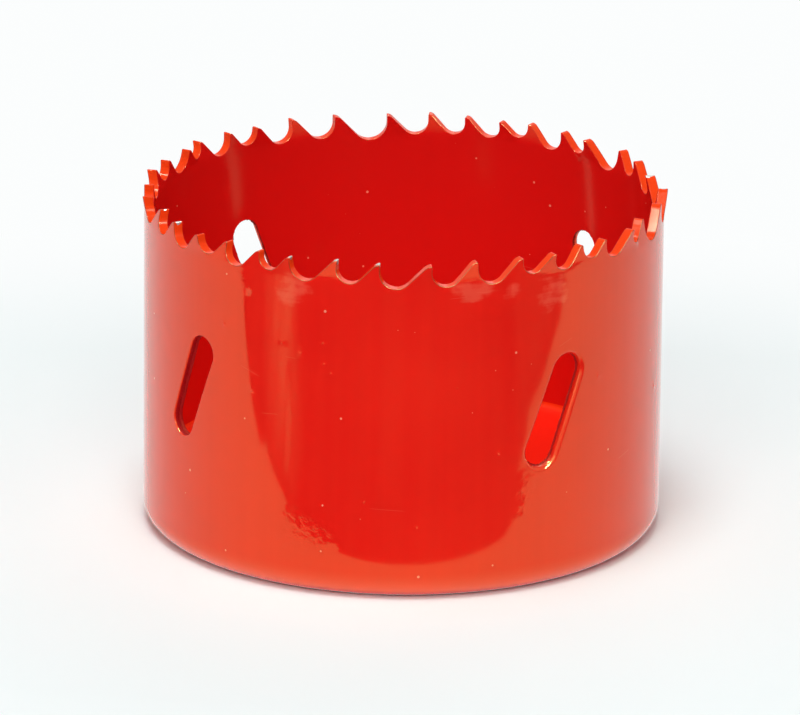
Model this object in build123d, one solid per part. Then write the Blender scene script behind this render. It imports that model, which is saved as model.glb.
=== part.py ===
from build123d import *
import os
from math import cos, pi, radians, sin, tan

# Hole saw: a toothed strip rolled into a tube, its back edge turned in under a thick back plate.
# The origin is on the axis, in the plane that the back rim rests on, and the teeth point up (+Z).
# Sizes are in millimetres and degrees. Angles round the axis are measured from +X.

# Tube
body_diameter = 64.0
body_height = 42.6  # back rim to tooth tips
wall = 1.2
corner_radius = 2.6  # outside, where the wall turns in under the plate
rim_width = 4.2  # turned-in rim, measured in from the outside of the tube

# Back plate
plate_thickness = 4.7
plate_clearance = 0.05  # radial, between the plate and the tube
thread_minor_radius = 7.25  # crests of a 5/8-18 UNF tapped hole
thread_lead_in = 0.7
pin_circle_diameter = 24.0
pin_hole_radius = 3.0
pin_hole_count = 4
first_pin_angle = -53.2
pin_hole_edge = 0.3

# Slots for levering out the cut plug
slot_length = 14.4
slot_width = 4.1
slot_slant = 21.5  # from upright, top leaning towards the cutting direction
slot_edge_radius = 0.35  # edge rounded by the punch
# Angle round the axis and height of each slot's middle. The strip does not feed quite evenly
# under the punch, so they are a little off their quarters and their line.
slot_places = ((-143.2, 22.9), (-54.5, 22.5), (39.5, 23.8), (126.8, 23.9))

# Teeth. Seven pitches in a mixed order keep the saw from chattering, and they are stretched
# evenly so that the whole order closes on itself round the rim.
tooth_pitches = {"A": 3.7, "B": 4.3, "C": 4.8, "D": 5.3, "E": 5.7, "F": 6.2, "G": 6.8}
pitch_order = "CEDEBDBEDFEEBCADBGFEFCFBDACCDGEEBDADBF"
first_tip_angle = 180.4  # where the strip is joined
gullet_depth_ratio = 0.48  # of the pitch, as are the two radii
gullet_radius_ratio = 0.32
crest_radius_ratio = 0.22
back_angle = 46.0  # slope of the tooth's back
relief_angle = 8.0  # slope of the land behind the tip

# Set. The tips stand straight, lean out and lean in, in turn.
set_order = (0.0, 0.45, -0.45)
bend_depth = 0.3  # below the deeper of a tooth's two gullets

cut_margin = 1.0  # cutters reach this far past the metal

# Worked out from the sizes above
body_radius = body_diameter / 2
bore_radius = body_radius - wall
mid_radius = body_radius - wall / 2
rim_inner_radius = body_radius - rim_width
plate_radius = bore_radius - plate_clearance
bore_corner_radius = corner_radius - wall
pitch_stretch = 2 * pi * mid_radius / sum(tooth_pitches[size] for size in pitch_order)
pitches = [tooth_pitches[size] * pitch_stretch for size in pitch_order]
tooth_foot = body_height - max(pitches) * gullet_depth_ratio - 2 * bend_depth


def turn(length):
    """The angle round the axis that a length along the middle of the wall takes up."""
    return 360 * length / (2 * pi * mid_radius)


def wall_plane(angle, height):
    """A plane on the middle of the wall: x runs along the wall, y up and z outwards."""
    out = Vector(cos(radians(angle)), sin(radians(angle)), 0)
    along = Vector(-out.Y, out.X, 0)
    return Plane(origin=out * mid_radius + Vector(0, 0, height), x_dir=along, z_dir=out)


def wall_cutter(outline, reach):
    """A cutter that passes straight through the wall, this far each side of its middle."""
    return extrude(outline, amount=reach, both=True)


def tube():
    """The plain wall with its turned-in back rim, up to the foot of the teeth."""
    section = make_face(
        Polyline(
            (rim_inner_radius, 0),
            (body_radius, 0),
            (body_radius, tooth_foot),
            (bore_radius, tooth_foot),
            (bore_radius, wall),
            (rim_inner_radius, wall),
            close=True,
        )
    )
    outer_corner = section.vertices().sort_by_distance((body_radius, 0))[0]
    section = fillet(outer_corner, corner_radius)
    bore_corner = section.vertices().sort_by_distance((bore_radius, wall))[0]
    section = fillet(bore_corner, bore_corner_radius)
    return revolve(Plane.XZ * section, Axis.Z)


def slotted(body):
    """The tube with its slanted slots, their outer edges rounded over."""
    outline = Rot(0, 0, 90 - slot_slant) * SlotOverall(slot_length, slot_width)
    for angle, height in slot_places:
        body -= wall_cutter(wall_plane(angle, height) * outline, wall + cut_margin)

    def on_slot_mouth(edge):
        middle = edge @ 0.5
        outside = abs(Vector(middle.X, middle.Y).length - body_radius) < wall / 4
        beside_slots = any(abs(middle.Z - height) < slot_length / 2 for _, height in slot_places)
        return outside and beside_slots and edge.geom_type != GeomType.LINE

    return fillet(body.edges().filter_by(on_slot_mouth), slot_edge_radius)


def gullet_outline(pitch):
    """The gap between two tips a pitch apart, drawn with y = 0 at the tips.

    The left side is the upright cutting face of one tooth. The right side is the long back of
    the next, which ends in a flatter land at the tip.
    """
    back_slope = tan(radians(back_angle))
    relief_slope = tan(radians(relief_angle))
    gullet_radius = pitch * gullet_radius_ratio
    centre_y = gullet_radius - pitch * gullet_depth_ratio
    corner_drop = gullet_radius * (1 + sin(radians(back_angle))) / cos(radians(back_angle))
    face_foot = centre_y - corner_drop
    crest_x = (-face_foot - pitch * relief_slope) / (back_slope - relief_slope)
    crest_y = face_foot + crest_x * back_slope
    outline = make_face(
        Polyline(
            (0, cut_margin),
            (0, face_foot),
            (crest_x, crest_y),
            (pitch, 0),
            (pitch, cut_margin),
            close=True,
        )
    )
    gullet = outline.vertices().sort_by_distance((0, face_foot))[0]
    outline = fillet(gullet, gullet_radius)
    crest = outline.vertices().sort_by_distance((crest_x, crest_y))[0]
    outline = fillet(crest, pitch * crest_radius_ratio)
    return Pos(-pitch / 2, 0) * outline


def tooth_blank(start, end, bend_height, lean):
    """A stretch of rim between two angles, bent so that its top stands out by the lean."""
    section = make_face(
        Polyline(
            (bore_radius, tooth_foot),
            (body_radius, tooth_foot),
            (body_radius, bend_height),
            (body_radius + lean, body_height),
            (bore_radius + lean, body_height),
            (bore_radius, bend_height),
            close=True,
        )
    )
    return revolve(Rot(0, 0, start) * (Plane.XZ * section), Axis.Z, end - start)


def teeth():
    """Every tooth, each from the bottom of one gullet to the bottom of the next."""
    tips = [first_tip_angle + turn(sum(pitches[:number])) for number in range(len(pitches))]
    gaps = []
    for tip, pitch in zip(tips, pitches):
        plane = wall_plane(tip + turn(pitch / 2), body_height)
        gaps.append(wall_cutter(plane * gullet_outline(pitch), wall + cut_margin))
    made = []
    for number, (tip, pitch) in enumerate(zip(tips, pitches)):
        pitch_before = pitches[number - 1]
        start = tip + turn(pitch_before * (gullet_radius_ratio - 1))
        end = tip + turn(pitch * gullet_radius_ratio)
        bend_height = body_height - max(pitch, pitch_before) * gullet_depth_ratio - bend_depth
        blank = tooth_blank(start, end, bend_height, set_order[number % len(set_order)])
        made.append(blank - gaps[number - 1] - gaps[number])
    return made


def toothed_cup():
    return slotted(tube()).fuse(*teeth())


def back_plate():
    """The thick disc, resting on the turned-in rim, with its thread bore and pin holes."""
    bottom = wall
    plate = Pos(0, 0, bottom) * Cylinder(
        plate_radius, plate_thickness, align=(Align.CENTER, Align.CENTER, Align.MIN)
    )
    plate = fillet(plate.edges().group_by(Axis.Z)[0], bore_corner_radius + plate_clearance)
    drill = 2 * (wall + plate_thickness)
    plate -= Cylinder(thread_minor_radius, drill)
    pin_holes = PolarLocations(pin_circle_diameter / 2, pin_hole_count, first_pin_angle)
    plate -= pin_holes * Cylinder(pin_hole_radius, drill)

    def edges_of_radius(radius):
        back_edges = plate.edges().filter_by(GeomType.CIRCLE).group_by(Axis.Z)[0]
        return back_edges.filter_by(lambda edge: abs(edge.radius - radius) < plate_clearance)

    plate = chamfer(edges_of_radius(thread_minor_radius), thread_lead_in)
    return chamfer(edges_of_radius(pin_hole_radius), pin_hole_edge)


os.makedirs("parts", exist_ok=True)
export_step(toothed_cup(), "parts/toothed_cup.step")
export_step(back_plate(), "parts/back_plate.step")
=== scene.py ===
from math import ceil, cos, pi, radians, sin, tan

import bpy
import numpy as np
from mathutils import Matrix, Vector
from mathutils.geometry import delaunay_2d_cdt
from mathutils.kdtree import KDTree


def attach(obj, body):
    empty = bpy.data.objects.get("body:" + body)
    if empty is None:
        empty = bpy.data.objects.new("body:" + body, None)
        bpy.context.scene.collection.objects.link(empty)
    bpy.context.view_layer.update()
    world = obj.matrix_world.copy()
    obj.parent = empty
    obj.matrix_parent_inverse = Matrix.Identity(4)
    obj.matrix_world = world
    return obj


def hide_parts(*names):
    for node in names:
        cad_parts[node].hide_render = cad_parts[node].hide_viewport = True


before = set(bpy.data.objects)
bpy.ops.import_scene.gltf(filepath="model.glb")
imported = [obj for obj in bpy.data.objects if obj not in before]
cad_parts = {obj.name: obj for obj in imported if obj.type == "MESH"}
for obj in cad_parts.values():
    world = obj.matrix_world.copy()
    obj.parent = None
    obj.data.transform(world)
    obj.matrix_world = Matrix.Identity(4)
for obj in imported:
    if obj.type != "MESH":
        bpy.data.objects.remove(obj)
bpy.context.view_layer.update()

# Hole saw. Sizes are in millimetres and degrees, as in the solid model, and become metres when a
# mesh is made. The wall is drawn unrolled: u runs round the middle of the wall from the first
# tooth tip, and v is the height above the back rim.
MM = 0.001

# Tube
body_diameter = 64.0
body_height = 42.6
wall = 1.2
corner_radius = 2.6
rim_width = 4.2
lip_edge_radius = 0.3

# Back plate
plate_thickness = 4.7
thread_minor_radius = 7.25
thread_major_radius = 7.94
thread_pitch = 1.411
thread_lead_in = 0.7
pin_circle_diameter = 24.0
pin_hole_radius = 3.0
pin_hole_count = 4
first_pin_angle = -53.2
pin_hole_edge = 0.3
groove_width = 1.15  # of the thread's groove, against its depth, before it is cut off flat
groove_slope = 2.6
run_out_rate = 12  # the groove fades out over a twelfth of the plate at each face
plate_edge_radius = 0.2
braze_radius = 0.8  # the joint with the wall, filled and painted over
paint_overlap = 0.02

# Slots
slot_length = 14.4
slot_width = 4.1
slot_slant = 21.5
# Angle and height of each middle, how far the punch rounded the outer edge, and the share of the
# wall, from outside, where the cut turns to a tear. On the first slot that share is small, so the
# dark torn colour covers most of its cut face as painted shade.
slots = ((-143.2, 22.9, 0.15, 0.1), (-54.5, 22.5, 0.6, 0.55), (39.5, 23.8, 0.5, 0.4),
         (126.8, 23.9, 0.5, 0.4))
slot_inner_edge = 0.1
slot_end_share = 0.999  # of the half width, so that an end's two arcs don't meet
cut_roughness = 0.03
tear_roughness = 0.2
rough_from = 0.4  # share of the wall where the cut face turns rough
burr_from = 0.8  # share of the wall where it is a burr
slot_thinness = 0.15  # how thin the enamel lies on a slot's edges

# Teeth
tooth_pitches = {"A": 3.7, "B": 4.3, "C": 4.8, "D": 5.3, "E": 5.7, "F": 6.2, "G": 6.8}
pitch_order = "CEDEBDBEDFEEBCADBGFEFCFBDACCDGEEBDADBF"
first_tip_angle = 180.4
gullet_depth_ratio = 0.48
gullet_radius_ratio = 0.32
crest_radius_ratio = 0.22
back_angle = 46.0
relief_angle = 8.0
crest_room = 0.95  # share of the land that the arcs at its ends may fill
seam_share = 0.78  # how far up the first tooth's back the unrolled wall starts and ends
set_order = (0.0, 0.45, -0.45)
bend_depth = 0.3
bend_ease = 0.35  # share of a tooth's height over which the bend starts
gullet_blend = 0.5
tip_radius = 0.12
tooth_edge_radius = 0.09

# Wear and making. Waves are (count round the wall, size, start, twist with height), nibs are
# (degrees from the front, height), and chips are tooth number: size.
strip_waves = ((5, 0.012, 0.4, 0.010), (11, 0.008, 2.1, -0.020), (23, 0.004, 4.0, 0.030),
               (41, 0.0016, 1.2, 0.0))
wave_ease = 5.0  # height over which the waves grow above the rounded foot
nib_places = ((-35.0, 37.4), (-42.6, 32.3), (-27.1, 31.6), (-17.4, 32.2), (-22.5, 30.7),
              (-17.2, 29.6), (-15.6, 28.5), (-34.6, 24.8), (12.0, 27.0), (21.5, 18.2),
              (-8.0, 12.5), (3.5, 9.4), (48.0, 25.5), (75.0, 20.0), (110.0, 30.0), (160.0, 14.0),
              (200.0, 26.0), (251.0, 17.0))
nib_radius = 0.14
nib_height = 0.06
chipped_tips = {3: 0.9, 7: 0.95, 8: 1.05, 9: 1.0, 19: 0.7, 20: 1.6, 2: 0.5}
skin_edge_shade = 0.45  # painted shade on the enamel just behind a tooth's edge, where the edge's is 1
bare_margin = 0.15  # how far the bare steel reaches past the thread's roots
bare_blend = 0.1

# Worked out from the sizes above
body_radius = body_diameter / 2
bore_radius = body_radius - wall
mid_radius = body_radius - wall / 2
girth = 2 * pi * mid_radius
rim_inner_radius = body_radius - rim_width
bore_corner_radius = corner_radius - wall
plate_top = wall + plate_thickness
pitch_stretch = girth / sum(tooth_pitches[size] for size in pitch_order)
pitches = [tooth_pitches[size] * pitch_stretch for size in pitch_order]
tips = [sum(pitches[:number]) for number in range(len(pitches))]
tooth_foot = body_height - max(pitches) * gullet_depth_ratio - 2 * bend_depth
wave_foot = corner_radius + 1

# How finely the meshes are drawn
line_step = 0.4
arc_step = 0.2
least_step = 0.005
wall_start = 9.0  # the wall is one revolved band below this height
grid_columns = 220
grid_row = 1.1
grid_clearance = 0.45  # from the wall's loose points to its outlines
tooth_clearance = 0.22  # the same, in the teeth
seam_clearance = 0.2
nib_rings = (0.5, 1.0, 1.6)  # in nib radii
nib_clearance = 1.2  # in nib radii
nib_points = 10
slot_rows = 8
corner_rows = 10
foot_rows = 4
slope_step = 0.02
plate_points = 240
bore_points = 160
bore_rows = 64
pin_hole_points = 72
plate_rings = (9.0, 29.5, 1.6)  # radius of the first, a limit and the step
plate_ring_points = 4  # a millimetre of radius
plate_clearance = 0.6
weld_distance = 1e-7
# A sheet's triangles end at a line this far inside the widest ease of its edge
ease_reach = 1.02
ease_gap = 0.01
# Rings across a chamfer, as share of its width and turn of its normal, and across a round
chamfer_rings = ((0.0, 22), (0.06, 45), (0.5, 45), (0.94, 45), (1.0, 67))
round_turns = (0.0, 22.5, 45.0, 67.5, 90.0)

# Enamel colours
enamel_red = (0.76, 0.0122, 0.0070, 1)
enamel_deep = (0.72, 0.0096, 0.0062, 1)
# Painted shade: a darker red for the bore, standing in for the shade inside the cup
enamel_inside_painted_shade = (0.68, 0.0082, 0.0072, 1)
# Painted light: a brighter red for the plate, standing in for the light from above on its face
plate_red_painted_light = (0.97, 0.02, 0.0075, 1)
enamel_thin = (0.86, 0.058, 0.007, 1)
# Pale for dust specks and scratches. The specks are made paler still as painted glints.
enamel_pale_and_glint = (0.9, 0.3, 0.2, 1)
# Paler orange for the smudges, and for the painted reflection of the floor at the foot of the wall
enamel_smudge_and_reflection = (0.82, 0.12, 0.07, 1)
# Painted shade: a near-black line along the sharp edges
enamel_edge_shade = (0.15, 0.018, 0.008, 1)
# Dark torn enamel at a slot's break, and painted shade over most of the first slot's cut face
enamel_torn_and_shaded = (0.38, 0.007, 0.010, 1)
enamel_gloss = (1.0, 0.93, 0.3, 1)
edge_gloss = (1.0, 0.85, 0.6, 1)

# Enamel. Scales are in cells a metre if not said otherwise. A range is where an effect starts and
# where it is full.
inside_range = (body_radius - 0.4, bore_radius + 0.1)
# How far the bore's enamel goes to that painted shade
inside_shade_share = 0.85
band_scale = 0.6  # cells a millimetre round the wall
cloud_scale = 60.0
cloud_share = 0.65
tone_range = (0.35, 0.65)
speck_scale = 430.0
speck_luck = 0.35  # share of the cells that hold no speck
speck_size = 0.08
speck_rim = 0.014
# The specks' paleness is partly a painted glint
speck_paleness_and_glint = 0.85
scratch_paleness = 0.12
stroke_scale = (0.22, 1.6)  # cells a millimetre, round the wall and up it
stroke_contrast = 2.0
blot_scale = 480.0
blot_contrast = 4.0
smudge_reach = 1.3
smudge_range = (0.4, 1.8)
smudge_rim = 0.3
smudge_strength = 0.45
# Painted reflection of the floor: paler enamel from this height down to the foot, and how pale
foot_reflection_range = (3.6, 0.3)
foot_painted_reflection = 0.6
edge_thinning = 0.9
patch_scale = 800.0
patch_spots = 0.9
# Painted shade along the sharp edges: where its patchy mask starts and is full, and its strength
edge_shade_range = (0.95, 1.15)
edge_shade_strength = 0.7
# Torn enamel, and painted shade on the first slot's cut face: its patches and range
torn_and_shaded_spots = 0.7
torn_and_shaded_range = (0.75, 0.95)

# Gloss: roughness, what adds to it, and how densely the enamel bends light
haze_scale = 28.0
haze_range = (0.3, 0.75)
least_roughness = 0.05
most_roughness = 0.12
edge_dulling = 0.06
edge_shade_dulling = 0.35
inside_dulling = 0.05
inside_density_share = 0.65
enamel_density = 1.66
edge_density = 1.15

# Relief. A depth is in hundredths of a millimetre.
peel_scale = 520.0
peel_depth = 0.5
swell_scale = 95.0
swell_depth = 5.0
speck_depth = 5.0
scratch_depth = 1.5
curdle_scale = 700.0
curdle_depth = 36.0
smear_depth = 6.0
smear_range = (tooth_foot - 3.0, tooth_foot)
bump_strength = 0.4
bump_unit = 0.01 * MM

# Bare steel
steel_dark = (0.16, 0.155, 0.14, 1)
steel_pale = (0.5, 0.49, 0.45, 1)
steel_roughness = 0.42
grit_scale = 1400.0
grit_depth = 0.08 * MM
grit_strength = 0.8
chip_scale = 1100.0
chip_raggedness = 0.9
chip_range = (1.0, 1.04)

# Hairlines: degrees from the front, height, length and rise
scratch_places = ((-35.2, 27.2, 3.2, -0.3), (-25.0, 29.9, 1.6, 0.0), (12.0, 38.4, 2.6, 0.06),
                  (-30.0, 22.3, 2.6, 0.1), (-3.0, 11.6, 5.0, -0.05), (17.5, 38.9, 2.2, -0.04),
                  (38.0, 31.0, 2.4, 0.4), (58.0, 14.0, 3.0, 0.2), (150.0, 24.0, 6.0, 0.1),
                  (-120.0, 18.0, 4.0, -0.2))
scratch_width = 0.07
scratch_fade = (0.5, 0.3)  # gone and full, as shares of the length
# Smudges and curdled enamel: degrees from the front, height, half-width and half-height
smudge_places = ((-25.0, 38.6, 3.4, 2.8), (15.0, 39.2, 4.0, 1.8), (24.0, 38.6, 2.4, 1.4),
                 (34.5, 37.6, 3.4, 3.4))
curdled_places = ((-21.0, 8.2, 5.5, 3.4), (29.5, 12.0, 3.0, 4.5), (20.0, 36.8, 5.0, 1.8),
                  (170.0, 12.0, 6.0, 3.0))

# Floor and world. Ranges are distances from the axis in metres.
floor_colour = (0.83, 0.90, 0.90, 1)
floor_bounce = (0.97, 0.97, 0.97, 1)
horizon_colour = (0.97, 0.985, 0.985, 1)
floor_corners = ((-4000, -4000), (4000, -4000), (4000, 4000), (-4000, 4000))  # millimetres
floor_draw = 1.7  # how much sooner the floor runs to white in front and behind than beside
floor_white_range = (0.084, 0.2)
seen_white = 0.2
seen_range = (0.031, 0.042)
mirrored_white = 0.9
mirrored_range = (0.027, 0.033)
front_dimming = 0.08
front_range = (-0.045, -0.055)  # across the front edge of the table
tent_level = 0.36

# Softboxes: degrees round from the front and up, metres away, width, height and brightness
lamps = (("key", -6.0, 35.0, 1.3, 0.9, 0.9, 2.9),
         ("overhead", -20.0, 78.0, 1.2, 0.42, 0.42, 11.5),
         ("rear", 165.0, 32.0, 1.5, 0.9, 0.9, 1.3))
# Strips that only the gloss shows, as glints on the teeth
glint_strips = (("right_strip", 36.0, 37.0, 1.3, 0.7, 0.14, 150.0),
                ("top_strip", -65.0, 70.0, 1.2, 0.45, 0.16, 150.0))

# Cards, which stand for what lies beyond the table's front edge: how pale, how much of it is soft
# rim, and corners in millimetres seen from above
card_gap = 0.05
card_dark = 0.0066
card_dark_streaks = 0.0484  # how much paler a dark part is in a streak
card_pale = 0.45
card_pale_streaks = 0.9
card_streaks = 9.0  # bands a radian
card_cloud_scale = 60.0
card_clouds = (0.8, 1.1)
card_range = (0.3, 0.7)
cards = (
    (0.02, 0.0, ((-900, -95), (-140, -54), (-86, -50), (-66, -49), (-62, -58), (-50, -61),
                 (-43, -57), (-36, -50), (-30, -47.5), (-14, -45.5), (12, -44.5), (28, -44),
                 (37, -47), (50, -56), (66, -66), (95, -62), (123, -56), (900, -95),
                 (900, -1500), (-900, -1500))),
    (0.62, 0.75, ((-32, -47), (-44, -50), (-60, -51), (-78, -56), (-100, -65), (-140, -84),
                  (-220, -150), (-150, -165), (-96, -106), (-78, -93), (-62, -80), (-48, -67))),
    (0.13, 0.12, ((46, -54), (66, -66), (95, -62), (123, -56), (900, -95), (900, -500),
                  (180, -180), (104, -102), (86, -92), (72, -79), (56, -63))),
    (0.07, 0.3, ((-9, -48), (1, -48), (10, -260), (-40, -260))),
    (0.75, 0.6, ((-43, -53), (-47, -52), (-64, -65), (-84, -82), (-81, -85), (-60, -69))),
)

# Camera: metres and radians
camera_place = (0, -1.13972, 0.39554)
camera_yaw = -0.000281
camera_pitch = 0.317889
camera_roll = 0.0111438
camera_lens = 436.5  # millimetres, for a sensor 36 wide
camera_clip = (0.05, 20.0)

# ---- Outlines ----

def rounded_path(corners, closed=False):
    """Points along straight lines and arcs, and their left-hand normals.

    Corners are (x, y, radius), in order. An open path starts and ends without an arc.
    """
    count = len(corners)
    points = [Vector(corner[:2]) for corner in corners]
    arcs = []
    for number, (here, corner) in enumerate(zip(points, corners)):
        radius = corner[2]
        before = (here - points[number - 1]).normalized()
        after = (points[(number + 1) % count] - here).normalized()
        if radius == 0:
            along = after if number == 0 else before
            arcs.append([(here, along.orthogonal())])
            continue
        turning = before.angle_signed(after)
        side = 1 if turning < 0 else -1
        start = here - before * radius * tan(abs(turning) / 2)
        centre = start + before.orthogonal() * radius * side
        spoke = start - centre
        pieces = max(4, ceil(abs(turning) * radius / arc_step))
        arc = []
        for step in range(pieces + 1):
            angle = -turning * step / pieces
            spun = Vector((spoke.x * cos(angle) - spoke.y * sin(angle),
                           spoke.x * sin(angle) + spoke.y * cos(angle)))
            arc.append((centre + spun, -spun * side / radius))
        arcs.append(arc)
    samples = []
    for number, arc in enumerate(arcs):
        samples.extend(arc)
        if number + 1 == count and not closed:
            break
        start, normal = arc[-1]
        gap = arcs[(number + 1) % count][0][0] - start
        pieces = max(1, ceil(gap.length / line_step))
        samples.extend((start + gap * step / pieces, normal) for step in range(1, pieces))
    points = np.array([tuple(point) for point, _ in samples])
    normals = np.array([tuple(normal) for _, normal in samples])
    apart = np.linalg.norm(points - np.roll(points, 1, axis=0), axis=1) > least_step
    return points[apart], normals[apart]


def along_wall(angle):
    """The unrolled wall's u at an angle round the axis."""
    return ((angle - first_tip_angle) % 360) / 360 * girth


def tooth_corners(number):
    """The foot of a tooth's back, its crest and its tip, as rounded_path takes them."""
    pitch = pitches[number]
    back_slope = tan(radians(back_angle))
    relief_slope = tan(radians(relief_angle))
    gullet_radius = pitch * gullet_radius_ratio
    centre_drop = pitch * gullet_depth_ratio - gullet_radius
    corner_drop = gullet_radius * (1 + sin(radians(back_angle))) / cos(radians(back_angle))
    foot_drop = centre_drop + corner_drop
    crest_x = (foot_drop - pitch * relief_slope) / (back_slope - relief_slope)
    crest_drop = foot_drop - crest_x * back_slope
    start = tips[number]
    land = (pitch - crest_x) / cos(radians(relief_angle))
    tip_reach = tip_radius * tan(radians(90 + relief_angle) / 2)
    room = crest_room * (land - tip_reach) / tan(radians(back_angle - relief_angle) / 2)
    foot = (start, body_height - foot_drop, gullet_radius)
    crest = (start + crest_x, body_height - crest_drop, min(pitch * crest_radius_ratio, room))
    tip = (start + pitch, body_height, tip_radius)
    return foot, crest, tip


def rim_path():
    """The toothed rim, once round, from the straight part of the first tooth's back."""
    foot, crest, tip = tooth_corners(0)
    start = [low + (high - low) * seam_share for low, high in zip(foot[:2], crest[:2])]
    corners = [(*start, 0), crest, tip]
    for number in range(1, len(pitches)):
        corners.extend(tooth_corners(number))
    corners.extend((x + girth, y, radius) for x, y, radius in (foot, (*start, 0)))
    points, normals = rounded_path(corners)
    return points[:-1], normals[:-1]


def slot_path(angle, height):
    """A slanted slot with round ends, anticlockwise."""
    middle = along_wall(angle)
    half = slot_length / 2
    radius = slot_width / 2
    slant = radians(slot_slant)
    corners = []
    for side, end in ((1, -1), (1, 1), (-1, 1), (-1, -1)):
        across, up = side * radius, end * half
        corners.append((middle + across * cos(slant) + up * sin(slant),
                        height - across * sin(slant) + up * cos(slant), radius * slot_end_share))
    return rounded_path(corners, closed=True)


def circle_path(x, y, radius, pieces, clockwise=False):
    turn = -2 * pi / pieces if clockwise else 2 * pi / pieces
    angles = np.arange(pieces) * turn
    spokes = np.stack([np.cos(angles), np.sin(angles)], axis=1)
    return np.array([x, y]) + spokes * radius, spokes if clockwise else -spokes


# ---- Sheets: two skins joined at their outlines ----

class Outline:
    """An edge of a sheet: its points, the way out of the metal and how each side is eased."""

    def __init__(self, path, front, back, chamfered=(), rows=5, carve=None, torn_and_shaded_from=1.0,
                 worn=False):
        self.points, self.normals = path
        self.ease = {"front": front, "back": back}
        self.chamfered = chamfered
        self.rows = rows
        self.carve = carve
        self.worn = worn
        self.torn_and_shaded_from = torn_and_shaded_from
        self.torn = float(torn_and_shaded_from < 1)
        self.thin = slot_thinness if self.torn else 1.0
        inset = max(abs(front), abs(back)) * ease_reach + ease_gap
        self.line = self.points - self.normals * inset

    def rings(self, side):
        """From the cut face to the skin: points, drop below the skin, and the normal's mix."""
        size = self.ease[side]
        if side in self.chamfered:
            for part, turn in chamfer_rings:
                yield self.points - self.normals * size * part, size * (1 - part), radians(turn)
            return
        for turn in round_turns:
            angle = radians(turn)
            inset = abs(size) * (1 - cos(angle))
            yield self.points - self.normals * inset, size * (1 - sin(angle)), angle


def linked(name, data):
    """A new object in the scene."""
    made = bpy.data.objects.new(name, data)
    bpy.context.scene.collection.objects.link(made)
    return made


class MeshData:
    """Vertices, normals and faces, gathered before Blender gets them.

    The edge layer is 1 on a cut face. The edge shade layer marks painted shade along the sharp
    corners, and the torn layer marks where a punch broke through, and painted shade on one slot's
    cut face.
    """

    def __init__(self):
        self.places = []
        self.normals = []
        self.layers = {"edge": [], "worn": [], "torn": []}
        self.faces = []
        self.count = 0

    def add(self, places, normals, **layers):
        """Adds a row of vertices and returns their numbers."""
        self.places.append(places)
        self.normals.append(unit(normals))
        for label, values in self.layers.items():
            values.append(np.broadcast_to(layers.get(label, 0.0), len(places)))
        self.count += len(places)
        return np.arange(self.count - len(places), self.count)

    def band(self, low, high):
        """Quads between two closed rows of as many vertices."""
        quads = np.stack([low, np.roll(low, -1), np.roll(high, -1), high], axis=1)
        self.faces.extend(quads.tolist())

    def piece(self, name, bare):
        """The finished object. Bare gives the chip layer: 1 where no enamel is left."""
        places = np.concatenate(self.places)
        mesh = bpy.data.meshes.new(name)
        mesh.from_pydata((places * MM).tolist(), [], self.faces)
        mesh.polygons.foreach_set("use_smooth", np.ones(len(mesh.polygons), dtype=bool))
        layers = {label: np.concatenate(values) for label, values in self.layers.items()}
        layers["chip"] = bare(places)
        for label, values in layers.items():
            mesh.attributes.new(label, "FLOAT", "POINT").data.foreach_set("value", values)
        mesh.update()
        mesh.normals_split_custom_set_from_vertices(np.concatenate(self.normals).tolist())
        return linked(name, mesh)


def unit(vectors):
    return vectors / np.linalg.norm(vectors, axis=-1)[..., None]


def nearest(points, outlines):
    """The distance from each point to the nearest outline, and whether it is in the metal."""
    line = np.concatenate([outline.line for outline in outlines])
    normals = np.concatenate([outline.normals for outline in outlines])
    finder = KDTree(len(line))
    for number, (x, y) in enumerate(line.tolist()):
        finder.insert((x, y, 0), number)
    finder.balance()
    closest = [finder.find((x, y, 0))[1] for x, y in points.tolist()]
    gaps = points - line[closest]
    return np.linalg.norm(gaps, axis=1), (gaps * normals[closest]).sum(axis=1) < 0


def traced(outlines):
    """Every outline's line as points, and the edges that close each."""
    points = []
    edges = []
    for outline in outlines:
        ring = appended(points, outline.line.tolist())
        edges.extend(zip(ring, [*ring[1:], ring[0]]))
    return points, edges


def appended(points, places):
    """The numbers that the places get when they join the points."""
    first = len(points)
    points.extend(places)
    return list(range(first, len(points)))


def triangulate(points, edges, outlines):
    """The triangles between 2-D points that lie in the metal, anticlockwise."""
    vectors = [Vector(point) for point in points.tolist()]
    result = delaunay_2d_cdt(vectors, edges, [], 1, weld_distance, True)
    index = np.array([source[0] if source else -1 for source in result[3]])
    triangles = index[np.array(result[2])]
    triangles = triangles[(triangles >= 0).all(axis=1)]
    _, inside = nearest(points[triangles].mean(axis=1), outlines)
    triangles = triangles[inside]
    corners = points[triangles]
    first = corners[:, 1] - corners[:, 0]
    second = corners[:, 2] - corners[:, 0]
    clockwise = first[:, 0] * second[:, 1] < first[:, 1] * second[:, 0]
    triangles[clockwise] = triangles[clockwise][:, ::-1]
    return triangles


def add_ease(data, outline, side, form, inner):
    """The eased edge between a skin and a cut face. Returns its row on the cut face."""
    rows = []
    for ring, drop, angle in outline.rings(side):
        out = form.edge_normal(ring, outline.normals) * (1 if drop >= 0 else -1)
        normals = out * cos(angle) + form.face_normal(ring, side) * sin(angle)
        # Painted shade along a tooth's sharp edge, strongest halfway round the ease
        worn = max(sin(2 * angle), skin_edge_shade) if outline.worn and side == "front" else 0.0
        torn = 1 - sin(angle) if outline.torn and side == "back" else 0.0
        thin = outline.thin * (1 - sin(angle))
        rows.append(data.add(form.place(ring, drop, side), normals, edge=thin, worn=worn, torn=torn))
    for outer_row, inner_row in zip(rows, [*rows[1:], inner]):
        data.band(*((inner_row, outer_row) if side == "front" else (outer_row, inner_row)))
    return rows[0]


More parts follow.
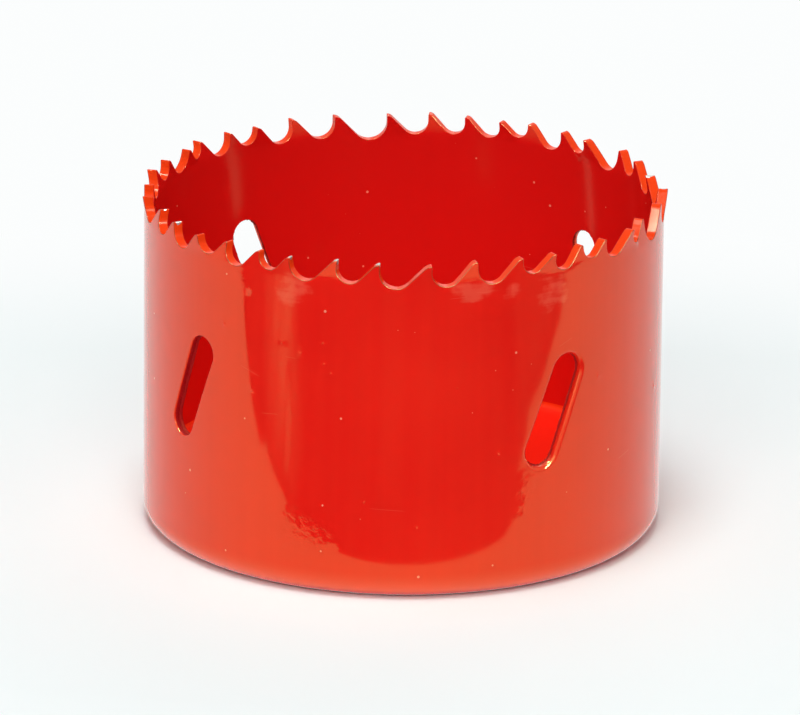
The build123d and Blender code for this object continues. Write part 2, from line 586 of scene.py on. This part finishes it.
def add_cut_face(data, outline, form, front, back):
    """The face between two rows, with what is carved into it."""
    top, bottom = np.concatenate(data.places)[[front, back]]
    parts = np.arange(1, outline.rows) / outline.rows
    grid = [top]
    for part in parts:
        flat = outline.points
        if outline.carve:
            flat = flat - outline.normals * outline.carve(outline.points, part)[:, None]
        grid.append(form.level(flat, top + (bottom - top) * part))
    grid = np.array([*grid, bottom])
    along = np.roll(grid, -1, axis=1) - np.roll(grid, 1, axis=1)
    facing = np.cross(along[1:-1], grid[2:] - grid[:-2])
    rows = [front]
    for part, places, normals in zip(parts, grid[1:], facing):
        torn = outline.torn * (part > outline.torn_and_shaded_from)
        rows.append(data.add(places, normals, edge=outline.thin, torn=torn))
    for low, high in zip(rows, [*rows[1:], back]):
        data.band(low, high)


def add_sheet(data, outlines, points, triangles, form):
    """Both skins, their eased edges and the cut faces between. Returns the skins' vertices."""
    starts = np.cumsum([0, *(len(outline.points) for outline in outlines)])
    skins = {}
    edges = {}
    for side in ("front", "back"):
        worn = np.zeros(len(points))
        if side == "front" and outlines[0].worn:
            worn[:starts[1]] = skin_edge_shade
        skin = data.add(form.place(points, 0.0, side), form.face_normal(points, side), worn=worn)
        skins[side] = skin
        flat = skin[triangles] if side == "front" else skin[triangles][:, ::-1]
        data.faces.extend(flat.tolist())
        edges[side] = [add_ease(data, outline, side, form, skin[start:end])
                       for outline, start, end in zip(outlines, starts, starts[1:])]
    for outline, front, back in zip(outlines, edges["front"], edges["back"]):
        add_cut_face(data, outline, form, front, back)
    return skins


# ---- The toothed cup ----

def by_tooth(u, values):
    """One value per tooth, eased from one tooth to the next across the gullet between them."""
    feet = np.array(tips) + np.array(pitches) * gullet_radius_ratio
    knots = np.concatenate([feet - gullet_blend, feet + gullet_blend])
    steps = np.concatenate([values, np.roll(values, -1)])
    order = np.argsort(knots)
    return np.interp(u % girth, knots[order], steps[order], period=girth)


def lean(points):
    """How far the set pushes the wall outwards."""
    leans = np.array([set_order[number % len(set_order)] for number in range(len(pitches))])
    deeper = np.array([max(pitches[k], pitches[k - 1]) for k in range(len(pitches))])
    bends = body_height - deeper * gullet_depth_ratio - bend_depth
    start = by_tooth(points[:, 0], bends)
    part = np.clip((points[:, 1] - start) / (body_height - start), 0, 1)
    full = 1 / (1 - bend_ease / 2)
    curve = np.where(part < bend_ease, part ** 2 / (2 * bend_ease), part - bend_ease / 2) * full
    return by_tooth(points[:, 0], leans) * curve


def waves(points):
    """The rolled strip's slight flats and swells."""
    around = points[:, 0] / girth * 2 * pi
    height = points[:, 1]
    total = np.zeros(len(points))
    for count, size, start, twist in strip_waves:
        total += size * np.sin(around * count + start + height * twist)
    return total * np.clip((height - wave_foot) / wave_ease, 0, 1)


def nibs(points):
    """Specks of dust caught under the enamel."""
    total = np.zeros(len(points))
    for place, height in nib_places:
        away = (points[:, 0] % girth - along_wall(place - 90)) ** 2 + (points[:, 1] - height) ** 2
        total += nib_height * np.exp(-away / nib_radius ** 2)
    return total


class WallForm:
    """Wraps the unrolled wall round the axis."""

    def relief(self, points, side):
        total = lean(points) + waves(points)
        return total + nibs(points) if side == "front" else total

    def frame(self, points):
        """The ways straight out of the wall and round it."""
        angle = radians(first_tip_angle) + points[:, 0] / mid_radius
        x, y, zero = np.cos(angle), np.sin(angle), np.zeros(len(points))
        return np.stack([x, y, zero], axis=1), np.stack([-y, x, zero], axis=1)

    def wrap(self, points, radius):
        made, _ = self.frame(points)
        made *= np.broadcast_to(radius, len(points))[:, None]
        made[:, 2] = points[:, 1]
        return made

    def place(self, points, drop, side):
        skin = body_radius - drop if side == "front" else bore_radius + drop
        return self.wrap(points, skin + self.relief(points, side))

    def face_normal(self, points, side):
        out, around = self.frame(points)
        here = self.relief(points, side)
        slope_u = (self.relief(points + [slope_step, 0], side) - here) / slope_step
        slope_v = (self.relief(points + [0, slope_step], side) - here) / slope_step
        normal = out - around * slope_u[:, None]
        normal[:, 2] -= slope_v
        return unit(normal) * (1 if side == "front" else -1)

    def edge_normal(self, points, normals):
        _, around = self.frame(points)
        made = around * normals[:, :1]
        made[:, 2] = normals[:, 1]
        return made

    def level(self, points, level):
        return self.wrap(points, np.hypot(level[:, 0], level[:, 1]))


def slot_break(points, part):
    """The rough band that the punch leaves on a slot's cut face, with a burr at the inside."""
    rough = np.random.default_rng(int(part * 100)).random(len(points))
    if part > burr_from:
        return -rough * tear_roughness
    return rough * (tear_roughness if part > rough_from else cut_roughness)


def turned(radius, height, size, turns):
    """Profile points on an arc round a centre, each with its normal's turn in degrees."""
    for turn in turns:
        angle = radians(turn)
        yield radius + size * cos(angle), height + size * sin(angle), turn


def revolved_rows(columns):
    """The turned-in rim and the foot of the wall: rows of places and normals."""
    lip_radius = rim_inner_radius + lip_edge_radius
    bore_corner_top = wall + bore_corner_radius
    outer = np.linspace(wall_start, corner_radius, foot_rows + 2)[1:-1]
    inner = np.linspace(bore_corner_top, wall_start, foot_rows + 1)[1:-1]
    down = np.linspace(0, -90, corner_rows + 1)
    up = np.linspace(90, 180, corner_rows // 2 + 1)
    profile = [
        *((body_radius, height, 0.0) for height in outer),
        *turned(body_radius - corner_radius, corner_radius, corner_radius, down),
        *turned(lip_radius, lip_edge_radius, lip_edge_radius, np.linspace(-90, -180, 5)),
        *turned(lip_radius, wall - lip_edge_radius, lip_edge_radius, (180.0, 135.0, 90.0)),
        *turned(bore_radius - bore_corner_radius, bore_corner_top, -bore_corner_radius, up),
        *((bore_radius, height, 180.0) for height in inner),
    ]
    form = WallForm()
    out, _ = form.frame(columns)
    for radius, height, turn in profile:
        flat = np.stack([columns[:, 0], np.full(len(columns), height)], axis=1)
        swell = waves(flat) if abs(turn) in (0.0, 180.0) else 0.0
        normal = out * cos(radians(turn))
        normal[:, 2] = sin(radians(turn))
        yield form.wrap(flat, radius + swell), normal


def wall_grid(left, outlines):
    """Loose points that fill the wall, twice as close in the teeth."""
    finer_above = tooth_foot - grid_row
    grids = []
    for finer, low, high in ((1, wall_start + grid_row, finer_above), (2, finer_above, body_height)):
        count = finer * grid_columns
        columns = left + (np.arange(count) + 0.5) * girth / count
        rows = np.arange(low, high, grid_row / finer)
        grids.append(np.stack(np.meshgrid(columns, rows), axis=-1).reshape(-1, 2))
    grid = np.concatenate(grids)
    rings = []
    for place, height in nib_places:
        middle = along_wall(place - 90)
        middle += girth if middle < left else 0
        rings.append([[middle, height]])
        for size in nib_rings:
            rings.append(circle_path(middle, height, nib_radius * size, nib_points)[0])
    marks = np.concatenate(rings)
    gaps = grid[:, None] - marks
    grid = grid[(gaps ** 2).sum(axis=2).min(axis=1) > (nib_radius * nib_clearance) ** 2]
    grid = np.concatenate([grid, marks])
    distance, inside = nearest(grid, outlines)
    spacing = np.where(grid[:, 1] < finer_above, grid_clearance, tooth_clearance)
    away = np.minimum(grid[:, 0] - left, left + girth - grid[:, 0]) > seam_clearance
    return grid[inside & (distance > spacing) & away]


def make_cup():
    form = WallForm()
    outlines = [Outline(rim_path(), tooth_edge_radius, tooth_edge_radius, worn=True)]
    for angle, height, rollover, torn_and_shaded_from in slots:
        outlines.append(Outline(slot_path(angle, height), rollover, slot_inner_edge,
                                rows=slot_rows, carve=slot_break, torn_and_shaded_from=torn_and_shaded_from))
    points, edges = traced(outlines)
    rim_count = len(outlines[0].line)
    del edges[rim_count - 1]  # the unrolled rim stays open
    left, top = points[0]
    drops = np.linspace(top, wall_start, ceil((top - wall_start) / grid_row) + 1)[1:]
    left_chain = [0, *appended(points, ([left, height] for height in drops))]
    lower = ([left + girth * k / grid_columns, wall_start] for k in range(1, grid_columns))
    bottom_chain = [left_chain[-1], *appended(points, lower)]
    right_chain = appended(points, ([left + girth, height] for height in (top, *drops)))
    for chain in (left_chain, [rim_count - 1, *right_chain], [*bottom_chain, right_chain[-1]]):
        edges.extend(zip(chain, chain[1:]))
    points = np.array([*points, *wall_grid(left, outlines).tolist()])
    triangles = triangulate(points, edges, outlines)
    joined = np.arange(len(points))
    joined[right_chain] = left_chain
    triangles = joined[triangles]

    data = MeshData()
    skins = add_sheet(data, outlines, points, triangles, form)
    rows = [skins["front"][bottom_chain]]
    rows.extend(data.add(*row) for row in revolved_rows(points[bottom_chain]))
    rows.append(skins["back"][bottom_chain])
    for high, low in zip(rows, rows[1:]):
        data.band(low, high)
    return data.piece("toothed_cup_enamelled", chips)


def chips(places):
    """How near each place is to a chipped tip, from 0 to 1."""
    near = np.zeros(len(places))
    for number, size in chipped_tips.items():
        angle = radians(first_tip_angle) + tips[number] / mid_radius
        reach = mid_radius + set_order[number % len(set_order)]
        tip = np.array([reach * cos(angle), reach * sin(angle), body_height])
        gap = np.linalg.norm(places - tip, axis=1)
        near = np.maximum(near, np.clip(1 - gap / size, 0, 1))
    return near


# ---- The back plate ----

class PlateForm:
    """A flat sheet: the front skin is the plate's inside face."""

    def place(self, points, drop, side):
        height = plate_top - drop if side == "front" else wall + drop
        return np.concatenate([points, np.full((len(points), 1), height)], axis=1)

    def face_normal(self, points, side):
        return np.tile([0.0, 0.0, 1.0 if side == "front" else -1.0], (len(points), 1))

    def edge_normal(self, points, normals):
        return np.concatenate([normals, np.zeros((len(normals), 1))], axis=1)

    def level(self, points, level):
        return np.concatenate([points, level[:, 2:]], axis=1)


def thread_groove(points, part):
    """The depth of the thread's groove below its crests."""
    height = plate_thickness * (1 - part)
    turns = np.arctan2(points[:, 1], points[:, 0]) / (2 * pi)
    phase = (height / thread_pitch - turns) % 1.0
    groove = np.clip(groove_width - np.abs(phase - 0.5) * groove_slope, 0, 1)
    run_out = np.clip(min(part, 1 - part) * run_out_rate, 0, 1)
    return groove * (thread_major_radius - thread_minor_radius) * run_out


def make_plate():
    form = PlateForm()
    rim = circle_path(0, 0, bore_radius + paint_overlap, plate_points, clockwise=True)
    bore = circle_path(0, 0, thread_minor_radius, bore_points)
    outlines = [
        Outline(rim, -braze_radius, bore_corner_radius),
        Outline(bore, plate_edge_radius, thread_lead_in, ("back",), bore_rows, thread_groove),
    ]
    for number in range(pin_hole_count):
        angle = radians(first_pin_angle + number * 360 / pin_hole_count)
        reach = pin_circle_diameter / 2
        x, y = reach * cos(angle), reach * sin(angle)
        hole = circle_path(x, y, pin_hole_radius, pin_hole_points)
        outlines.append(Outline(hole, plate_edge_radius, pin_hole_edge, ("back",)))
    points, edges = traced(outlines)
    radii = np.arange(*plate_rings)
    rings = [circle_path(0, 0, radius, int(radius * plate_ring_points))[0] for radius in radii]
    grid = np.concatenate(rings)
    distance, inside = nearest(grid, outlines)
    points.extend(grid[inside & (distance > plate_clearance)].tolist())
    points = np.array(points)
    data = MeshData()
    add_sheet(data, outlines, points, triangulate(points, edges, outlines), form)
    return data.piece("back_plate_enamelled", bare_thread)


def bare_thread(places):
    """Where the plate's thread is left as machined."""
    radius = np.hypot(places[:, 0], places[:, 1])
    return np.clip((thread_major_radius + bare_margin - radius) / bare_blend, 0, 1)


# ---- Materials ----

def shader(name):
    """A new material, its node tree and the place on the object, in metres."""
    material = bpy.data.materials.new(name)
    material.use_nodes = True
    tree = material.node_tree
    tree.nodes.clear()
    return material, tree, node(tree, "TexCoord").outputs["Object"]


def node(tree, kind, inputs=None, **settings):
    made = tree.nodes.new("ShaderNode" + kind)
    for key, value in settings.items():
        setattr(made, key, value)
    for key, value in (inputs or {}).items():
        if isinstance(value, bpy.types.NodeSocket):
            tree.links.new(value, made.inputs[key])
        else:
            made.inputs[key].default_value = value
    return made


def math(tree, operation, first, second=0.0, third=0.0):
    inputs = {0: first, 1: second, 2: third}
    return node(tree, "Math", inputs, operation=operation).outputs[0]


def times(tree, first, second):
    return math(tree, "MULTIPLY", first, second)


def added(tree, value, size, base):
    """The base with size times the value added to it."""
    return math(tree, "MULTIPLY_ADD", value, size, base)


def less(tree, first, second):
    return math(tree, "SUBTRACT", first, second)


def larger(tree, first, second):
    return math(tree, "MAXIMUM", first, second)


def ramp(tree, value, span, to_low=0.0, to_high=1.0):
    inputs = {"Value": value, "From Min": span[0], "From Max": span[1], "To Min": to_low,
              "To Max": to_high}
    return node(tree, "MapRange", inputs, interpolation_type="SMOOTHSTEP").outputs[0]


def mix(tree, part, first, second):
    inputs = {0: part, 6: first, 7: second}
    return node(tree, "Mix", inputs, data_type="RGBA").outputs[2]


def noise(tree, coordinates, scale, detail=3.0):
    inputs = {"Vector": coordinates, "Scale": scale, "Detail": detail}
    return node(tree, "TexNoise", inputs).outputs["Fac"]


def combined(tree, x, y=0.0):
    return node(tree, "CombineXYZ", {0: x, 1: y}).outputs[0]


def length(tree, place, stretch=(1, 1, 1)):
    """How far a place is from the origin, with each axis stretched first."""
    place = node(tree, "VectorMath", {0: place, 1: stretch}, operation="MULTIPLY").outputs[0]
    return node(tree, "VectorMath", {0: place}, operation="LENGTH").outputs["Value"]


def layer(tree, name):
    """One of the mesh's own layers."""
    return node(tree, "Attribute", attribute_name=name).outputs["Fac"]


def turn_and_height(tree, place):
    """Radians round the axis from the front, and metres above the back rim."""
    axes = node(tree, "SeparateXYZ", {0: place}).outputs
    return math(tree, "ARCTAN2", axes[0], times(tree, axes[1], -1.0)), axes[2]


def scratches(tree, around, height):
    """Hairlines in the enamel, from 0 to 1."""
    total = 0.0
    for angle, start, reach, rise in scratch_places:
        across = less(tree, around, radians(angle) * body_radius)
        off = math(tree, "ABSOLUTE", less(tree, added(tree, across, -rise, height), start))
        thin = ramp(tree, off, (0.0, scratch_width), 1.0, 0.0)
        ends = [reach * share for share in scratch_fade]
        inside = ramp(tree, math(tree, "ABSOLUTE", across), ends)
        total = math(tree, "ADD", total, times(tree, thin, inside))
    return total


def ovals(tree, around, height, places):
    """Soft ovals on the wall, 1 in the middle of each."""
    total = 0.0
    for angle, middle, width, tall in places:
        across = less(tree, around, radians(angle) * body_radius)
        across = math(tree, "DIVIDE", across, width)
        up = math(tree, "DIVIDE", less(tree, height, middle), tall)
        away = added(tree, up, up, times(tree, across, across))
        total = math(tree, "ADD", total, ramp(tree, away, (0.0, 1.0), 1.0, 0.0))
    return total


def dust_specks(tree, place):
    """Specks of several sizes, each in a cell of its own."""
    cells = node(tree, "TexVoronoi", {"Vector": place, "Scale": speck_scale})
    lucky = node(tree, "SeparateColor", {0: cells.outputs["Color"]}).outputs[0]
    size = ramp(tree, lucky, (speck_luck, 1.0), 0.0, speck_size)
    return ramp(tree, less(tree, size, cells.outputs["Distance"]), (0.0, speck_rim))


def smudges_and_foot_reflection(tree, place, around, height, strokes):
    """Blotchy smears under the teeth, and paler enamel at the foot of the wall as a painted
    reflection of the bright floor.
    """
    blot = added(tree, noise(tree, place, blot_scale), blot_contrast, -blot_contrast / 2)
    blot = added(tree, strokes, stroke_contrast, less(tree, blot, stroke_contrast / 2))
    smudged = ovals(tree, around, height, smudge_places)
    smear = ramp(tree, added(tree, smudged, smudge_reach, blot), smudge_range)
    smear = times(tree, smear, ramp(tree, smudged, (0.0, smudge_rim), 0.0, smudge_strength))
    return larger(tree, smear, ramp(tree, height, foot_reflection_range, 0.0, foot_painted_reflection))


def enamel_relief(tree, place, around, height, specks, lines, strokes):
    """The bump of orange peel, swells, specks, scratches, curdled enamel and brush smears."""
    peel = times(tree, noise(tree, place, peel_scale, 2.0), peel_depth)
    relief = added(tree, noise(tree, place, swell_scale, 1.0), swell_depth, peel)
    relief = added(tree, specks, speck_depth, relief)
    relief = added(tree, lines, -scratch_depth, relief)
    curdled = times(tree, noise(tree, place, curdle_scale), curdle_depth)
    relief = added(tree, ovals(tree, around, height, curdled_places), curdled, relief)
    smear = times(tree, strokes, smear_depth)
    relief = added(tree, ramp(tree, height, smear_range), smear, relief)
    inputs = {"Height": relief, "Strength": bump_strength, "Distance": bump_unit}
    return node(tree, "Bump", inputs).outputs[0]


def bare_steel(tree, place):
    grit = noise(tree, place, grit_scale, 4.0)
    scar = node(tree, "Bump", {"Height": grit, "Strength": grit_strength, "Distance": grit_depth})
    return node(tree, "BsdfPrincipled",
                {"Base Color": mix(tree, grit, steel_dark, steel_pale), "Metallic": 1.0,
                 "Roughness": steel_roughness, "Normal": scar.outputs[0]}).outputs[0]


def enamel(name, plain, deep, inner):
    """Gloss red enamel over steel, chipped through to the steel where the chip layer says. Its
    colour also holds painted shade, painted light and a painted reflection.
    """
    material, tree, place = shader(name)
    turn, up = turn_and_height(tree, place)
    around = times(tree, turn, body_radius)
    height = times(tree, up, 1 / MM)
    edge = layer(tree, "edge")
    torn = layer(tree, "torn")
    from_axis = times(tree, length(tree, place, (1, 1, 0)), 1 / MM)
    inside = ramp(tree, from_axis, inside_range)
    specks = dust_specks(tree, place)
    lines = scratches(tree, around, height)
    across, upward = stroke_scale
    strokes = combined(tree, times(tree, around, across), times(tree, height, upward))
    strokes = noise(tree, strokes, 1.0)
    spotty = times(tree, noise(tree, place, patch_scale), patch_spots)
    # Painted shade: a patchy dark line along the sharp edges
    edge_shade_mask = ramp(tree, math(tree, "ADD", layer(tree, "worn"), spotty), edge_shade_range)
    edge_shade_mask = times(tree, edge_shade_mask, edge_shade_strength)
    # Torn enamel at the slots' breaks, and painted shade on the first slot's cut face
    torn_and_shaded_mask = ramp(tree, added(tree, spotty, torn_and_shaded_spots, torn), torn_and_shaded_range)

    # Colour: faint upright bands from rolling, cloudiness, then each mark over the last: painted
    # shade inside the cup, pale specks with painted glints, scratches, smudges, a painted reflection
    # at the foot, thin enamel on the edges, painted shade along the edges, and torn enamel, which is
    # also painted shade on one slot's cut face
    bands = times(tree, noise(tree, combined(tree, around), band_scale), 1 - cloud_share)
    tone = added(tree, noise(tree, place, cloud_scale), cloud_share, bands)
    colour = mix(tree, ramp(tree, tone, tone_range), deep, plain)
    # Painted shade inside the cup
    colour = mix(tree, times(tree, inside, inside_shade_share), colour, inner)
    # Pale specks and scratches. The specks' paleness is partly a painted glint.
    pale = larger(tree, times(tree, specks, speck_paleness_and_glint), times(tree, lines, scratch_paleness))
    colour = mix(tree, pale, colour, enamel_pale_and_glint)
    # Smudges, and the painted reflection of the floor at the foot of the wall
    smudge_and_reflection = smudges_and_foot_reflection(tree, place, around, height, strokes)
    smudge_and_reflection = times(tree, smudge_and_reflection, less(tree, 1.0, inside))
    colour = mix(tree, smudge_and_reflection, colour, enamel_smudge_and_reflection)
    colour = mix(tree, times(tree, edge, edge_thinning), colour, enamel_thin)
    # Painted shade along the sharp edges
    colour = mix(tree, edge_shade_mask, colour, enamel_edge_shade)
    # Torn enamel, and painted shade on the first slot's cut face
    colour = mix(tree, torn_and_shaded_mask, colour, enamel_torn_and_shaded)

    # Gloss
    haze = noise(tree, place, haze_scale, 4.0)
    roughness = ramp(tree, haze, haze_range, least_roughness, most_roughness)
    roughness = added(tree, edge, edge_dulling, roughness)
    roughness = added(tree, larger(tree, edge_shade_mask, torn_and_shaded_mask), edge_shade_dulling, roughness)
    roughness = added(tree, inside, inside_dulling, roughness)
    dull = larger(tree, edge, times(tree, inside, inside_density_share))
    dull = larger(tree, dull, torn)
    density = added(tree, dull, edge_density - enamel_density, enamel_density)
    bump = enamel_relief(tree, place, around, height, specks, lines, strokes)
    paint = node(tree, "BsdfPrincipled",
                 {"Base Color": colour, "Roughness": roughness, "IOR": density,
                  "Specular Tint": mix(tree, edge, enamel_gloss, edge_gloss), "Normal": bump})

    chipped = added(tree, noise(tree, place, chip_scale), chip_raggedness, layer(tree, "chip"))
    chipped = ramp(tree, chipped, chip_range)
    inputs = {0: chipped, 1: paint.outputs[0], 2: bare_steel(tree, place)}
    surface = node(tree, "MixShader", inputs)
    node(tree, "OutputMaterial", {0: surface.outputs[0]})
    return material


def card_material(name, level):
    """A dull card, dark at its rim, cloudy, and streaked towards the axis."""
    material, tree, place = shader(name)
    turn, _ = turn_and_height(tree, place)
    rays = combined(tree, times(tree, turn, card_streaks))
    streaks = ramp(tree, noise(tree, rays, 1.0), card_range)
    uneven = ramp(tree, noise(tree, place, card_cloud_scale), card_range, *card_clouds)
    uneven = times(tree, uneven, added(tree, streaks, card_pale_streaks, card_pale))
    share = times(tree, layer(tree, "pale"), uneven)
    plain = added(tree, streaks, card_dark_streaks, card_dark)
    plain = node(tree, "CombineColor", {0: plain, 1: plain, 2: plain}).outputs[0]
    tone = mix(tree, share, plain, (level, level, level, 1))
    surface = node(tree, "BsdfDiffuse", {"Color": tone})
    node(tree, "OutputMaterial", {0: surface.outputs[0]})
    return material


def white_rays(tree):
    """1 for rays that should find a white studio: seen, mirrored or passed on."""
    path = node(tree, "LightPath").outputs
    seen = larger(tree, path["Is Camera Ray"], path["Is Glossy Ray"])
    return larger(tree, seen, path["Is Transmission Ray"])


def floor_material():
    """A pale floor that keeps shadows near the saw and runs out to plain white.

    Diffuse light finds it nearly white everywhere, and a little dimmer past the table's edge.
    """
    material, tree, place = shader("floor_white")
    toward_back = node(tree, "SeparateXYZ", {0: place}).outputs[1]
    seen = white_rays(tree)
    dim = times(tree, ramp(tree, toward_back, front_range), less(tree, 1.0, seen))
    tone = mix(tree, seen, floor_bounce, floor_colour)
    tone = mix(tree, times(tree, dim, front_dimming), tone, (0, 0, 0, 1))
    paper = node(tree, "BsdfDiffuse", {"Color": tone})
    white = node(tree, "Emission", {"Color": horizon_colour, "Strength": 1.0})
    away = length(tree, place)
    mirrored = node(tree, "LightPath").outputs["Is Glossy Ray"]
    mirror = times(tree, mirrored, ramp(tree, away, mirrored_range, 0.0, mirrored_white))
    share = ramp(tree, length(tree, place, (1, floor_draw, 1)), floor_white_range)
    share = larger(tree, share, ramp(tree, away, seen_range, 0.0, seen_white))
    share = times(tree, larger(tree, share, mirror), seen)
    surface = node(tree, "MixShader", {0: share, 1: paper.outputs[0], 2: white.outputs[0]})
    node(tree, "OutputMaterial", {0: surface.outputs[0]})
    return material


# ---- Stage, light and camera ----

def flat_sheet(name, corners, height, material, feather=0.0):
    """A flat polygon. Its pale layer falls from 1 to 0 at the rim over the feathered part."""
    mesh = bpy.data.meshes.new(name)
    outer = np.array([(x, y, height) for x, y in corners]) * MM
    inner = outer + (outer.mean(axis=0) - outer) * feather
    count = len(outer)
    around = [(k, (k + 1) % count) for k in range(count)]
    faces = [range(count, 2 * count), *((k, j, count + j, count + k) for k, j in around)]
    if feather == 0:
        faces = [range(count)]
        inner = outer[:0]
    mesh.from_pydata([*outer.tolist(), *inner.tolist()], [], faces)
    pale = mesh.attributes.new("pale", "FLOAT", "POINT")
    pale.data.foreach_set("value", [0.0] * count + [1.0] * len(inner))
    mesh.materials.append(material)
    made = linked(name, mesh)
    return made


def make_stage():
    """The floor, and the cards that only reflections see."""
    flat_sheet("floor", floor_corners, 0, floor_material())
    for number, (level, feather, corners) in enumerate(cards):
        tone = card_material(f"card_{number}_tone", level)
        card = flat_sheet(f"card_{number}", corners, card_gap * (number + 1), tone, feather)
        for ray in ("camera", "diffuse", "transmission", "volume_scatter", "shadow"):
            setattr(card, f"visible_{ray}", False)


def area_light(name, turn, climb, away, width, tall, level):
    """A soft box that faces the saw. The level is its brightness, where 1 is white."""
    light = bpy.data.lights.new(name, "AREA")
    light.shape = "RECTANGLE"
    light.size, light.size_y = width, tall
    light.energy = level * pi * width * tall
    made = linked(name, light)
    made.matrix_world = (Matrix.Rotation(radians(turn), 4, "Z")
                         @ Matrix.Rotation(radians(90 - climb), 4, "X")
                         @ Matrix.Translation((0, 0, away)))
    return made


def make_lights():
    world = bpy.data.worlds.new("tent")
    bpy.context.scene.world = world
    world.use_nodes = True
    tree = world.node_tree
    tree.nodes.clear()
    level = added(tree, white_rays(tree), 1 - tent_level, tent_level)
    sky = node(tree, "Background", {"Color": horizon_colour, "Strength": level})
    node(tree, "OutputWorld", {0: sky.outputs[0]})
    for lamp in lamps:
        area_light(*lamp)
    for strip in glint_strips:
        area_light(*strip).visible_diffuse = False


def make_camera():
    data = bpy.data.cameras.new("camera")
    data.lens = camera_lens
    data.clip_start, data.clip_end = camera_clip
    made = linked("camera", data)
    made.matrix_world = (Matrix.Translation(camera_place) @ Matrix.Rotation(-camera_yaw, 4, "Z")
                         @ Matrix.Rotation(pi / 2 - camera_pitch, 4, "X")
                         @ Matrix.Rotation(camera_roll, 4, "Z"))
    bpy.context.scene.camera = made


# ---- Making ----

make_camera()
make_lights()
make_stage()

cup = make_cup()
cup_paint = enamel("cup_enamel", enamel_red, enamel_deep, enamel_inside_painted_shade)
cup.data.materials.append(cup_paint)
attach(cup, "root")
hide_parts("toothed_cup")

plate = make_plate()
# The plate's brighter red is painted light
plate_paint = enamel("plate_enamel", plate_red_painted_light, enamel_red, plate_red_painted_light)
plate.data.materials.append(plate_paint)
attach(plate, "root")
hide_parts("back_plate")

for name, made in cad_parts.items():
    made.data.materials.clear()
    made.data.materials.append(cup_paint if name == "toothed_cup" else plate_paint)

bpy.context.scene.view_settings.view_transform = "Standard"
